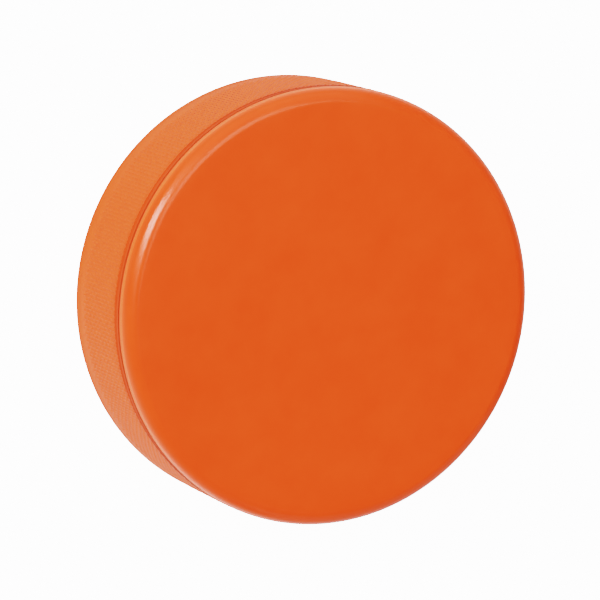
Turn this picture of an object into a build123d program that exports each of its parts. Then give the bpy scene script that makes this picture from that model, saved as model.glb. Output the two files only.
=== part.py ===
from build123d import *
import os

# Weighted training puck for ice hockey, at regulation size.
#
# Two rubber mouldings close over a perforated steel disc. The casing body is a cup: it has the lower face,
# the side wall with its gripping band, and the pegs that stand in the disc's holes. The casing cap is the
# upper face with its rounded edge, and a spigot that fills the cup down to the disc. The two meet in a
# shallow groove just below the upper edge.
#
# The puck lies flat. The origin is the centre of the lower face, and +Z runs up the axis. Sizes are in mm.

# Driving dimensions
puck_diameter = 76.2
puck_thickness = 25.4
upper_edge_radius = 2.6
lower_edge_radius = 3.0
rim_step = 0.1  # the smooth rims stand this far inside the gripping band
band_bottom = 4.7
band_top = 21.6
band_lead = 0.15  # height of the slope at each end of the band
groove_depth = 0.2  # depth of the groove, measured from the smooth rim
disc_diameter = 62.0
disc_thickness = 6.35
hole_count = 8
hole_diameter = 6.0
hole_circle_diameter = 42.0
peg_reach = 2.0  # how far each peg enters its socket in the cap

# Derived sizes
band_radius = puck_diameter / 2
rim_radius = band_radius - rim_step
groove_radius = rim_radius - groove_depth
disc_radius = disc_diameter / 2
hole_radius = hole_diameter / 2
hole_circle_radius = hole_circle_diameter / 2
parting_height = puck_thickness - upper_edge_radius
disc_bottom = (puck_thickness - disc_thickness) / 2
disc_top = disc_bottom + disc_thickness

os.makedirs("parts", exist_ok=True)


# Casing body: half of its section, turned about the axis, then the pegs on the floor of the cup
with BuildPart() as casing_body:
    with BuildSketch(Plane.XZ):
        with BuildLine():
            lower_face = Line((0, 0), (rim_radius - lower_edge_radius, 0))
            lower_edge = CenterArc(
                (rim_radius - lower_edge_radius, lower_edge_radius), lower_edge_radius, -90, 90
            )
            Polyline(
                lower_edge @ 1,
                (rim_radius, band_bottom - band_lead),
                (band_radius, band_bottom),
                (band_radius, band_top),
                (groove_radius, band_top + band_lead),
                (groove_radius, parting_height),
                (disc_radius, parting_height),
                (disc_radius, disc_bottom),
                (0, disc_bottom),
                lower_face @ 0,
            )
        make_face()
    revolve(axis=Axis.Z)
    with BuildSketch(Plane.XY.offset(disc_bottom)):
        with PolarLocations(hole_circle_radius, hole_count):
            Circle(hole_radius)
    extrude(amount=disc_thickness + peg_reach)

# Casing cap: half of its section, turned about the axis, then the sockets for the pegs
with BuildPart() as casing_cap:
    with BuildSketch(Plane.XZ):
        with BuildLine():
            upper_edge = CenterArc((rim_radius - upper_edge_radius, parting_height), upper_edge_radius, 0, 90)
            Polyline(
                upper_edge @ 1,
                (0, puck_thickness),
                (0, disc_top),
                (disc_radius, disc_top),
                (disc_radius, parting_height),
                upper_edge @ 0,
            )
        make_face()
    revolve(axis=Axis.Z)
    with BuildSketch(Plane.XY.offset(disc_top)):
        with PolarLocations(hole_circle_radius, hole_count):
            Circle(hole_radius)
    extrude(amount=peg_reach, mode=Mode.SUBTRACT)

# Weight disc: a steel plate with a ring of through holes
with BuildPart() as weight_disc:
    with BuildSketch(Plane.XY.offset(disc_bottom)):
        Circle(disc_radius)
        with PolarLocations(hole_circle_radius, hole_count):
            Circle(hole_radius, mode=Mode.SUBTRACT)
    extrude(amount=disc_thickness)

casing_body.part.label = "casing_body"
casing_cap.part.label = "casing_cap"
weight_disc.part.label = "weight_disc"

export_step(casing_body.part, "parts/casing_body.step")
export_step(casing_cap.part, "parts/casing_cap.step")
export_step(weight_disc.part, "parts/weight_disc.step")
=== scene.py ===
import math
import random

import bpy
from mathutils import Matrix, Vector
from mathutils.geometry import tessellate_polygon

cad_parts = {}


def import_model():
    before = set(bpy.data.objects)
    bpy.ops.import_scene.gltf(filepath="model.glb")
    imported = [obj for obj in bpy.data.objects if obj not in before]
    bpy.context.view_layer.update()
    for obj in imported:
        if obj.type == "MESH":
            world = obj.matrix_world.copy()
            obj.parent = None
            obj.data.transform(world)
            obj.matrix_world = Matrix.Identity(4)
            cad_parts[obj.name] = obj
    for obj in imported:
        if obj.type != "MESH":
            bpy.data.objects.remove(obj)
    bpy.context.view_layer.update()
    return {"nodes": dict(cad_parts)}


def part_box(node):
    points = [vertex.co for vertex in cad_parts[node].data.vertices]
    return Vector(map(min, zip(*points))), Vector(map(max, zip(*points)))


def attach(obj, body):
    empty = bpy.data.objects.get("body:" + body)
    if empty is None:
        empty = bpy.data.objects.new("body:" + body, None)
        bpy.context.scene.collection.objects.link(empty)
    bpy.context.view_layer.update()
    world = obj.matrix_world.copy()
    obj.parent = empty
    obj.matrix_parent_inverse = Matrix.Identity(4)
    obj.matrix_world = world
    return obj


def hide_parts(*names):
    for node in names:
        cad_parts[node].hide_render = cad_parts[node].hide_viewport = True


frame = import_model()

MM = 0.001

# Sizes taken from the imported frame, in metres
BODY_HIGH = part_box("casing_body")[1]
CAP_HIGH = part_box("casing_cap")[1]
DISC_LOW, DISC_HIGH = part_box("weight_disc")
CREST_RADIUS = BODY_HIGH.x
RIM_RADIUS = CAP_HIGH.x
THICKNESS = CAP_HIGH.z
PARTING_HEIGHT = BODY_HIGH.z
UPPER_EDGE_RADIUS = THICKNESS - PARTING_HEIGHT
DISC_RADIUS = DISC_HIGH.x
CENTRE = Vector((0, 0, THICKNESS / 2))

# Sizes that the frame's boxes don't give
LOWER_EDGE_RADIUS = 3.0 * MM
BAND_BOTTOM = 4.7 * MM
BAND_TOP = 21.6 * MM
BAND_GAP = 0.3 * MM  # from the last ring of the smooth wall below the band to the band
PEG_COUNT = 8
PEG_RADIUS = 3.0 * MM
PEG_CIRCLE_RADIUS = 21.0 * MM
PEG_REACH = 2.0 * MM  # how far each peg enters its socket in the cap
PEG_TOP = DISC_HIGH.z + PEG_REACH

# Smooth wall: a shallow dip near the top of the band, and a low bead where it ends
DIP_HEIGHT = 20.7 * MM
DIP_SPREAD = 0.4 * MM
DIP_DEPTH = 0.02 * MM
BEAD_HEIGHT = 21.6 * MM
BEAD_SPREAD = 0.5 * MM
BEAD_RISE = 0.02 * MM
MARGIN_HEIGHTS = (21.8 * MM, 22.0 * MM)  # of the rings between the band and the groove

# Groove: the slot between a ledge, where the body's wall stops, and the skirt of the cap. The skirt hangs
# in the rebate above the ledge, and its edge curls inward below the cap's rounded edge.
LEDGE_HEIGHT = 22.36 * MM
LIP_HEIGHT = 0.05 * MM  # height of the wall's lip below the ledge, which carries painted shade
REBATE_DEPTH = 0.45 * MM
SKIRT_GAP = 0.01 * MM  # between the skirt and the back of the rebate
SKIRT_BOTTOM = 22.52 * MM
SKIRT_CURL_RADIUS = 0.45 * MM

# Knurl: raised lozenges in staggered rows, DIAMONDS round the band and DIAMOND_ROWS up it
DIAMONDS = 178
DIAMOND_ROWS = 10
KNURL_DEPTH = 0.24 * MM  # from a crest to the valleys beside it
SADDLE_SHARE = 0.35  # height of the saddle between two crests one above the other, as a share of theirs
LOZENGE_SHARE = 0.48  # width of a lozenge as a share of its diamond's
KNURL_FADE = 1.7 * MM  # the lozenges rise to full height over this distance from each end of the band
LOZENGE_WEAR = 0.3  # largest share of its height that a lozenge has lost
wear_draws = random.Random(11)

# Steps of the meshes
COLUMNS = 4 * DIAMONDS  # points in each ring of the wall and the edges
FACE_COLUMNS = COLUMNS // 4  # points in the inner ring of each flat face
INNER_RING = 0.5  # radius of that ring, as a share of the flat's
OUTER_RING = 0.97  # radius of the ring just inside the flat's border, as a share of the flat's
EDGE_STEPS = 14  # along each rounded edge
CURL_STEPS = 5  # along the curl of the skirt's edge
PEG_SIDES = 32
SHARP_ANGLE = math.radians(50)  # faces that meet at more than this are shaded as a sharp edge

# Tints of the rubber's surface: 1 is pale, with painted light on the wall and the rounded edge and wear on
# the crests, 0 is plain, and -1 is dark with painted shade
VALLEY_TINT = 0.75  # between the lozenges, on the wall below the band, and on the lower edge: painted light, which makes the wall paler than the faces
MARGIN_TINT = -0.25  # painted shade on the smooth margin above the band
# Painted shade on the wall's lip below the ledge
LIP_TINT = -0.6
GROOVE_TINT = -1  # painted shade on everything inside the groove
EDGE_TINTS = [-0.6, 0.9, 1.0, 0.6, 0.1, -0.2, -0.25, -0.1]  # painted light and shade up the cap's rounded edge, and then plain: a dark line by the groove, a pale line, and a darker band

# Colours of the rubber
RUBBER_DARK = (0.750, 0.0860, 0.0260, 1)
RUBBER_LIGHT = (0.790, 0.0930, 0.0290, 1)
# Pale rubber: wear on the crests, and painted light on the wall and the rounded edge
RUBBER_WEAR_AND_LIGHT = (0.820, 0.130, 0.0375, 1)
# Painted shade, in and around the groove and on the rounded edge
RUBBER_PAINTED_SHADE = (0.530, 0.080, 0.027, 1)

# Roughness of the rubber
PLAIN_ROUGHNESS = (0.14, 0.20)  # between these, with the clouding
PALE_ROUGHNESS = 0.26  # added where the rubber is tinted pale, by wear and by painted light

# The studio's glow is the product of three curves, one for each part (X, Y and Z) of the direction that it
# comes from. Each is a list of stops of (part, brightness).
GLOW_X = [(-1, 0.45), (-0.5, 0.55), (0, 0.33), (0.6, 0.75), (1, 0.8)]
GLOW_Y = [(-1, 0.5), (-0.5, 1.0), (0.15, 1.0), (0.6, 0.6), (1, 0.8)]
GLOW_Z_BELOW = [(-1, 0.02), (-0.92, 0.05), (-0.8, 0.8), (-0.6, 1.3), (-0.3, 1.0)]
GLOW_Z = [*GLOW_Z_BELOW, (0, 0.55), (0.3, 0.15), (0.7, 0)]


class Shell:
    """Points and faces of one piece, gathered ring by ring along its section.

    A section is followed so that the solid lies on its left: outward along an underside, up an outer wall,
    inward along a top, and down an inner wall. Faces then point out of the solid. Each point has a tint.
    """

    def __init__(self):
        self.points = []
        self.faces = []
        self.tints = []

    def point(self, radius, turn, height, centre=(0, 0), tint=0):
        x = centre[0] + radius * math.cos(turn)
        y = centre[1] + radius * math.sin(turn)
        self.points.append((x, y, height))
        self.tints.append(tint)
        return len(self.points) - 1

    def ring(self, radius, height, count, centre=(0, 0), tint=0):
        return [self.point(radius, 2 * math.pi * i / count, height, centre, tint) for i in range(count)]

    def join(self, a, b):
        """Faces from ring a to ring b, whose counts are equal or one a multiple of the other."""
        if len(a) == len(b):
            for i in range(len(a)):
                k = (i + 1) % len(a)
                self.faces.append((a[i], a[k], b[k], b[i]))
            return
        fine, coarse = (a, b) if len(a) > len(b) else (b, a)
        share = len(fine) // len(coarse)
        for i in range(len(coarse)):
            k = (i + 1) % len(coarse)
            fan = [fine[(i * share + j) % len(fine)] for j in range(share + 1)]
            middle = share // 2
            for j in range(share):
                corner = coarse[i] if j < middle else coarse[k]
                side = (fan[j], fan[j + 1]) if fine is a else (fan[j + 1], fan[j])
                self.faces.append((*side, corner))
            face = (fan[middle], coarse[k], coarse[i])
            self.faces.append(face if fine is a else face[::-1])

    def path(self, first, stations):
        """Joins ring first to a new ring at each (radius, height, tint), and returns the last ring."""
        last = first
        for radius, height, tint in stations:
            new = self.ring(radius, height, COLUMNS, tint=tint)
            self.join(last, new)
            last = new
        return last

    def close(self, ring, height, inward=True):
        """Closes a ring with a fan to its centre, where the section ends (inward) or starts."""
        n = len(ring)
        x = sum(self.points[i][0] for i in ring) / n
        y = sum(self.points[i][1] for i in ring) / n
        self.points.append((x, y, height))
        self.tints.append(0)
        middle = len(self.points) - 1
        for i in range(n):
            k = (i + 1) % n
            self.faces.append((ring[i], ring[k], middle) if inward else (ring[k], ring[i], middle))

    def plate(self, outer, holes, upward):
        """A flat face from ring outer to the hole rings inside it."""
        loops = [outer, *holes]
        order = [i for loop in loops for i in loop]
        corners = [[Vector(self.points[i]) for i in loop] for loop in loops]
        for triangle in tessellate_polygon(corners):
            p, q, r = (order[i] for i in triangle)
            a, b, c = (Vector(self.points[i]) for i in (p, q, r))
            faces_up = (b - a).cross(c - a).z > 0
            self.faces.append((p, q, r) if faces_up == upward else (r, q, p))

    def piece(self, name, material, node):
        """Makes the Blender object, which rides on the puck and stands for a CAD node."""
        mesh = bpy.data.meshes.new(name)
        mesh.from_pydata(self.points, [], self.faces)
        mesh.validate()
        mesh.update()
        mesh.shade_smooth()
        mesh.set_sharp_from_angle(angle=SHARP_ANGLE)
        mesh.attributes.new("tint", "FLOAT", "POINT").data.foreach_set("value", self.tints)
        mesh.materials.append(material)
        obj = bpy.data.objects.new(name, mesh)
        bpy.context.scene.collection.objects.link(obj)
        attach(obj, "root")
        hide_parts(node)


def tinted(tint, *stations):
    """Stations (radius, height) of a section as (radius, height, tint), all with the same tint."""
    return [(radius, height, tint) for radius, height in stations]


def edge_arc(radius, centre_radius, centre_height, start, end, steps):
    """Stations along a rounded edge, from angle start to end in degrees, 0 pointing outward and 90 up."""
    turns = [math.radians(start + (end - start) * i / steps) for i in range(steps + 1)]
    return [(centre_radius + radius * math.cos(a), centre_height + radius * math.sin(a)) for a in turns]


def peg_places():
    for i in range(PEG_COUNT):
        turn = 2 * math.pi * i / PEG_COUNT
        yield PEG_CIRCLE_RADIUS * math.cos(turn), PEG_CIRCLE_RADIUS * math.sin(turn)


def fade(height):
    """Height of the knurl at a height on the wall, from 0 at the ends of the band to 1 along its middle."""
    share = min(1, max(0, min(height - BAND_BOTTOM, BAND_TOP - height) / KNURL_FADE))
    return share * share * (3 - 2 * share)


def swell(height, place, spread):
    """A smooth hump along the wall: 1 at the height of its place, and near 0 at two spreads from there."""
    return math.exp(-(((height - place) / spread) ** 2))


def wall_radius(height):
    """Radius of the smooth wall, with its dip and its bead."""
    dip = DIP_DEPTH * swell(height, DIP_HEIGHT, DIP_SPREAD)
    bead = BEAD_RISE * swell(height, BEAD_HEIGHT, BEAD_SPREAD)
    return RIM_RADIUS - dip + bead


def valley_tint(height, rise):
    """Tint between the lozenges, which turns into the margin's where the knurl fades at the band's top:
    painted light on the band, and painted shade on the margin.
    """
    if height < CENTRE.z:
        return VALLEY_TINT
    tint = rise + MARGIN_TINT * (1 - rise)
    return VALLEY_TINT * tint if tint > 0 else tint


def knurl_row(shell, row):
    """One ring of the band. For each diamond: a crest, a valley, the next column's saddle, and a valley."""
    height = BAND_BOTTOM + (BAND_TOP - BAND_BOTTOM) * row / (2 * DIAMOND_ROWS)
    cell = 2 * math.pi / DIAMONDS
    rise = fade(height)
    crest = wall_radius(height) + (CREST_RADIUS - RIM_RADIUS) * rise
    valley = crest - KNURL_DEPTH * rise
    saddle = valley + (crest - valley) * SADDLE_SHARE
    # The band is painted pale, as painted light on the wall; the valleys between the lozenges stay less
    # pale, as painted shade
    low_tint = valley_tint(height, rise)
    crest_tint = low_tint + (1 - VALLEY_TINT) * rise
    half = LOZENGE_SHARE / 2
    ring = []
    for i in range(DIAMONDS):
        start = (i + 0.5 * (row % 2)) * cell
        loss = wear_draws.uniform(0, LOZENGE_WEAR)
        top = crest - (crest - valley) * loss
        ring.append(shell.point(top, start, height, tint=crest_tint - loss * rise))
        ring.append(shell.point(valley, start + half * cell, height, tint=low_tint))
        ring.append(shell.point(saddle, start + cell / 2, height, tint=low_tint))
        ring.append(shell.point(valley, start + (1 - half) * cell, height, tint=low_tint))
    return ring


def knurled_band(shell, first):
    """The band of raised lozenges, joined to ring first.

    Each row's crests stand over the saddles of the row below.
    """
    last = knurl_row(shell, 0)
    shell.join(first, last)
    for row in range(1, 2 * DIAMOND_ROWS + 1):
        ring = knurl_row(shell, row)
        shift = 0 if row % 2 else 1
        for i in range(DIAMONDS):
            below = [last[(4 * i + j) % COLUMNS] for j in range(5)]
            above = [ring[(4 * (i + shift) + j) % COLUMNS] for j in range(-2, 3)]
            shell.faces.append((below[0], below[1], above[0]))
            shell.faces.append((below[1], below[2], above[1], above[0]))
            shell.faces.append((below[2], above[2], above[1]))
            shell.faces.append((below[2], above[3], above[2]))
            shell.faces.append((below[2], below[3], above[4], above[3]))
            shell.faces.append((below[3], below[4], above[4]))
        last = ring
    return last


def casing_body(material):
    """The cup: the lower face, the wall up to the groove, the bore, and the pegs on its floor."""
    shell = Shell()
    flat = RIM_RADIUS - LOWER_EDGE_RADIUS
    inner = shell.ring(flat * INNER_RING, 0, FACE_COLUMNS)
    shell.close(inner, 0, inward=False)
    face = shell.path(inner, tinted(0, (flat * OUTER_RING, 0), (flat, 0)))
    edge = edge_arc(LOWER_EDGE_RADIUS, flat, LOWER_EDGE_RADIUS, -90, 0, EDGE_STEPS)
    # The lower edge and the wall below the band get painted light
    wall = shell.path(face, tinted(VALLEY_TINT, *edge[1:], (RIM_RADIUS, BAND_BOTTOM - BAND_GAP)))
    band = knurled_band(shell, wall)
    # Painted shade on the margin, the lip and everything inside the groove
    margin = [(wall_radius(height), height, MARGIN_TINT) for height in MARGIN_HEIGHTS]
    lip = [(RIM_RADIUS, LEDGE_HEIGHT - LIP_HEIGHT, LIP_TINT), (RIM_RADIUS, LEDGE_HEIGHT, GROOVE_TINT)]
    rebate = RIM_RADIUS - REBATE_DEPTH
    inside = tinted(
        GROOVE_TINT,
        (rebate, LEDGE_HEIGHT),
        (rebate, PARTING_HEIGHT),
        (DISC_RADIUS, PARTING_HEIGHT),
        (DISC_RADIUS, DISC_LOW.z),
    )
    floor_edge = shell.path(band, [*margin, *lip, *inside])
    pegs = [shell.ring(PEG_RADIUS, DISC_LOW.z, PEG_SIDES, place) for place in peg_places()]
    shell.plate(floor_edge, pegs, upward=True)
    for base, place in zip(pegs, peg_places()):
        tip = shell.ring(PEG_RADIUS, PEG_TOP, PEG_SIDES, place)
        shell.join(base, tip)
        shell.close(tip, PEG_TOP)
    shell.piece("casing_body_moulding", material, "casing_body")


def casing_cap(material):
    """The lid: a spigot with sockets for the pegs, the skirt, the rounded upper edge and the upper face."""
    shell = Shell()
    sockets = [shell.ring(PEG_RADIUS, DISC_HIGH.z, PEG_SIDES, place) for place in peg_places()]
    spigot = shell.ring(DISC_RADIUS, DISC_HIGH.z, COLUMNS)
    shell.plate(spigot, sockets, upward=False)
    for mouth, place in zip(sockets, peg_places()):
        end = shell.ring(PEG_RADIUS, PEG_TOP, PEG_SIDES, place)
        shell.join(mouth[::-1], end[::-1])
        shell.close(end[::-1], PEG_TOP)
    back = RIM_RADIUS - REBATE_DEPTH + SKIRT_GAP
    lowest = -math.degrees(math.asin((PARTING_HEIGHT - SKIRT_BOTTOM) / SKIRT_CURL_RADIUS))
    curl_centre = RIM_RADIUS - SKIRT_CURL_RADIUS
    curl = edge_arc(SKIRT_CURL_RADIUS, curl_centre, PARTING_HEIGHT, lowest, 0, CURL_STEPS)
    # Painted shade on the skirt, inside the groove
    skirt = tinted(
        GROOVE_TINT,
        (DISC_RADIUS, PARTING_HEIGHT),
        (back, PARTING_HEIGHT),
        (back, SKIRT_BOTTOM),
        *curl[:-1],
    )
    flat = RIM_RADIUS - UPPER_EDGE_RADIUS
    edge = edge_arc(UPPER_EDGE_RADIUS, flat, PARTING_HEIGHT, 0, 90, EDGE_STEPS)
    # Painted light and shade up the rounded edge
    tints = EDGE_TINTS + [0] * (len(edge) - len(EDGE_TINTS))
    edge_with_painted_light = [(*station, tint) for station, tint in zip(edge, tints)]
    face = tinted(0, (flat * OUTER_RING, THICKNESS))
    rim = shell.path(spigot, [*skirt, *edge_with_painted_light, *face])
    inner = shell.ring(flat * INNER_RING, THICKNESS, FACE_COLUMNS)
    shell.join(rim, inner)
    shell.close(inner, THICKNESS)
    shell.piece("casing_cap_moulding", material, "casing_cap")


class Nodes:
    """Short calls for building a node tree."""

    def __init__(self, tree):
        self.tree = tree

    def feed(self, socket, value):
        """Gives an input its value, which is a node's output, or else a number or a colour."""
        if isinstance(value, bpy.types.NodeSocket):
            self.tree.links.new(value, socket)
        else:
            socket.default_value = value

    def add(self, kind, **values):
        """A new node. Each value goes to the node's input of that name, or else to its own setting."""
        node = self.tree.nodes.new(kind)
        for key, value in values.items():
            if key in node.inputs:
                self.feed(node.inputs[key], value)
            else:
                setattr(node, key, value)
        return node

    def compute(self, operation, *terms):
        """The result of a Math node, whose terms are outputs or numbers."""
        node = self.add("ShaderNodeMath", operation=operation)
        for socket, term in zip(node.inputs, terms):
            self.feed(socket, term)
        return node.outputs[0]

    def map_range(self, source, low, high, to_low, to_high):
        """Carries a number from the range low to high over to the range to_low to to_high."""
        limits = {"From Min": low, "From Max": high, "To Min": to_low, "To Max": to_high}
        return self.add("ShaderNodeMapRange", Value=source, **limits).outputs["Result"]

    def noise(self, scale, detail, roughness):
        """Noise fixed to the object, from 0 to 1."""
        place = self.add("ShaderNodeTexCoord").outputs["Object"]
        node = self.add("ShaderNodeTexNoise", Vector=place, Scale=scale, Detail=detail, Roughness=roughness)
        return node.outputs["Fac"]

    def ramp(self, source, stops, interpolation="LINEAR"):
        """A colour that follows a number from 0 to 1, through stops of (number, colour)."""
        node = self.add("ShaderNodeValToRGB", Fac=source)
        node.color_ramp.interpolation = interpolation
        elements = node.color_ramp.elements
        while len(elements) < len(stops):
            elements.new(0.5)
        for element, (number, colour) in zip(elements, stops):
            element.position = number
            element.color = colour
        return node.outputs["Color"]


def new_material(name):
    """A new material, with its nodes and its shader."""
    material = bpy.data.materials.new(name)
    material.use_nodes = True
    return material, Nodes(material.node_tree), material.node_tree.nodes["Principled BSDF"]


def orange_rubber():
    material, n, shader = new_material("orange_rubber")
    tint = n.add("ShaderNodeAttribute", attribute_name="tint").outputs["Fac"]
    clouds = n.noise(scale=140, detail=5, roughness=0.6)
    grain = n.noise(scale=4200, detail=3, roughness=0.55)

    # Colour: slow clouding of the compound; paler and speckled with wear on the crests and with painted
    # light on the wall and the rounded edge; darker with painted shade in and around the groove
    compound = n.ramp(clouds, [(0.3, RUBBER_DARK), (0.7, RUBBER_LIGHT)])
    speckle = n.map_range(grain, 0.3, 0.7, 0.3, 1.5)
    wear_and_light = n.compute("MULTIPLY", tint, speckle)
    worn_and_lit = n.add("ShaderNodeMixRGB", Fac=wear_and_light, Color1=compound, Color2=RUBBER_WEAR_AND_LIGHT).outputs["Color"]
    painted_shade = n.compute("MULTIPLY", tint, -1)
    with_painted_shade = n.add("ShaderNodeMixRGB", Fac=painted_shade, Color1=worn_and_lit, Color2=RUBBER_PAINTED_SHADE).outputs["Color"]
    n.feed(shader.inputs["Base Color"], with_painted_shade)

    # Surface: the clouding shows in the gloss, rubber tinted pale (wear and painted light) is more matte,
    # and a fine grain covers it all
    plain = n.map_range(clouds, 0, 1, *PLAIN_ROUGHNESS)
    pale = n.compute("MAXIMUM", tint, 0)
    roughness = n.compute("MULTIPLY_ADD", pale, PALE_ROUGHNESS, plain)
    n.feed(shader.inputs["Roughness"], roughness)
    bump = n.add("ShaderNodeBump", Strength=0.5, Distance=0.00002, Height=grain)
    n.feed(shader.inputs["Normal"], bump.outputs["Normal"])
    shader.inputs["IOR"].default_value = 1.33
    return material


def disc_steel():
    material, n, shader = new_material("disc_steel")
    scale = n.noise(scale=300, detail=6, roughness=0.65)
    colour = n.ramp(scale, [(0, (0.20, 0.20, 0.21, 1)), (1, (0.46, 0.46, 0.47, 1))])
    n.feed(shader.inputs["Base Color"], colour)
    shader.inputs["Metallic"].default_value = 1.0
    shader.inputs["Roughness"].default_value = 0.5
    return material


def floor():
    """A wide pale floor, seen by the camera alone. The world's glow takes its place as a light."""
    material, _, shader = new_material("pale_floor")
    shader.inputs["Base Color"].default_value = (0.8, 0.8, 0.8, 1)
    shader.inputs["Roughness"].default_value = 0.9
    shader.inputs["Emission Color"].default_value = (1, 1, 1, 1)
    shader.inputs["Emission Strength"].default_value = 6.0
    half = 8.0
    below = 0.05 * MM  # keeps the floor clear of the puck's lower face
    mesh = bpy.data.meshes.new("floor")
    corners = [(x * half, y * half, -below) for x, y in ((-1, -1), (1, -1), (1, 1), (-1, 1))]
    mesh.from_pydata(corners, [], [(0, 1, 2, 3)])
    mesh.materials.append(material)
    obj = bpy.data.objects.new("floor", mesh)
    obj.visible_diffuse = False
    obj.visible_glossy = False
    obj.visible_shadow = False
    bpy.context.scene.collection.objects.link(obj)


def softbox(name, direction, width, height, radiance):
    """A rectangular light that faces the puck. Its width and height are in degrees, as the puck sees it."""
    distance = 2.5
    light = bpy.data.lights.new(name, "AREA")
    light.shape = "RECTANGLE"
    light.size = 2 * distance * math.tan(math.radians(width / 2))
    light.size_y = 2 * distance * math.tan(math.radians(height / 2))
    light.energy = radiance * math.pi * light.size * light.size_y
    obj = bpy.data.objects.new(name, light)
    towards = Vector(direction).normalized()
    obj.location = CENTRE + towards * distance
    obj.rotation_euler = (-towards).to_track_quat("-Z", "Y").to_euler()
    bpy.context.scene.collection.objects.link(obj)


def glow_along(n, part, stops):
    """A grey that follows one part of the direction, from -1 to 1, through stops of (part, brightness)."""
    share = n.map_range(part, -1, 1, 0, 1)
    greys = [((number + 1) / 2, (level, level, level, 1)) for number, level in stops]
    return n.ramp(share, greys, "EASE")


def world():
    """A studio whose glow is strongest below the horizon and gone overhead. To the camera it is white."""
    studio = bpy.data.worlds.new("studio")
    studio.use_nodes = True
    bpy.context.scene.world = studio
    n = Nodes(studio.node_tree)
    n.tree.nodes.clear()
    direction = n.add("ShaderNodeTexCoord").outputs["Generated"]
    parts = n.add("ShaderNodeSeparateXYZ", Vector=direction).outputs
    glow = glow_along(n, parts["X"], GLOW_X)
    for axis, stops in (("Y", GLOW_Y), ("Z", GLOW_Z)):
        factor = glow_along(n, parts[axis], stops)
        product = n.add("ShaderNodeMixRGB", blend_type="MULTIPLY", Fac=1, Color1=glow, Color2=factor)
        glow = product.outputs["Color"]
    light = n.add("ShaderNodeBackground", Color=glow, Strength=2.9)
    white = n.add("ShaderNodeBackground", Strength=7)
    mix = n.add("ShaderNodeMixShader", Fac=n.add("ShaderNodeLightPath").outputs["Is Camera Ray"])
    n.feed(mix.inputs[1], light.outputs[0])
    n.feed(mix.inputs[2], white.outputs[0])
    n.add("ShaderNodeOutputWorld", Surface=mix.outputs[0])


def camera():
    """Looks down on the puck, and is rolled so that the puck's axis points right and a little down."""
    tilt = math.radians(25.51)  # between the line of sight and the puck's axis
    turn = math.radians(20.34)  # how far below the horizontal the axis points in the picture
    distance = 668.1 * MM
    left_shift = 0.375 * MM  # of the camera, from where it would look straight at the centre
    down_shift = 0.344 * MM
    right = Vector((-math.sin(turn), math.cos(tilt) * math.cos(turn), math.sin(tilt) * math.cos(turn)))
    down = Vector((math.cos(turn), math.cos(tilt) * math.sin(turn), math.sin(tilt) * math.sin(turn)))
    ahead = Vector((0, math.sin(tilt), -math.cos(tilt)))
    data = bpy.data.cameras.new("camera")
    data.sensor_width = 36.0
    data.lens = 230.7
    obj = bpy.data.objects.new("camera", data)
    obj.matrix_world = Matrix((right, -down, -ahead)).transposed().to_4x4()
    obj.location = CENTRE - right * left_shift + down * down_shift - ahead * distance
    bpy.context.scene.collection.objects.link(obj)
    bpy.context.scene.camera = obj


rubber = orange_rubber()
casing_body(rubber)
casing_cap(rubber)
steel = disc_steel()
for material_slot in frame["nodes"]["weight_disc"].material_slots:
    material_slot.material = steel

floor()
world()
softbox("key_light", direction=(-0.10, -0.655, 0.75), width=13.5, height=38, radiance=18.5)
softbox("key_halo", direction=(-0.12, -0.62, 0.78), width=40, height=50, radiance=1.0)
softbox("top_light", direction=(-0.20, 0.10, 0.97), width=24, height=22, radiance=3.8)
softbox("left_fill", direction=(-0.65, -0.30, 0.70), width=70, height=60, radiance=0.7)
softbox("right_fill", direction=(0.50, 0.75, 0.38), width=50, height=40, radiance=0.6)
camera()
bpy.context.scene.view_settings.view_transform = "Filmic"
bpy.context.scene.view_settings.look = "Very High Contrast"
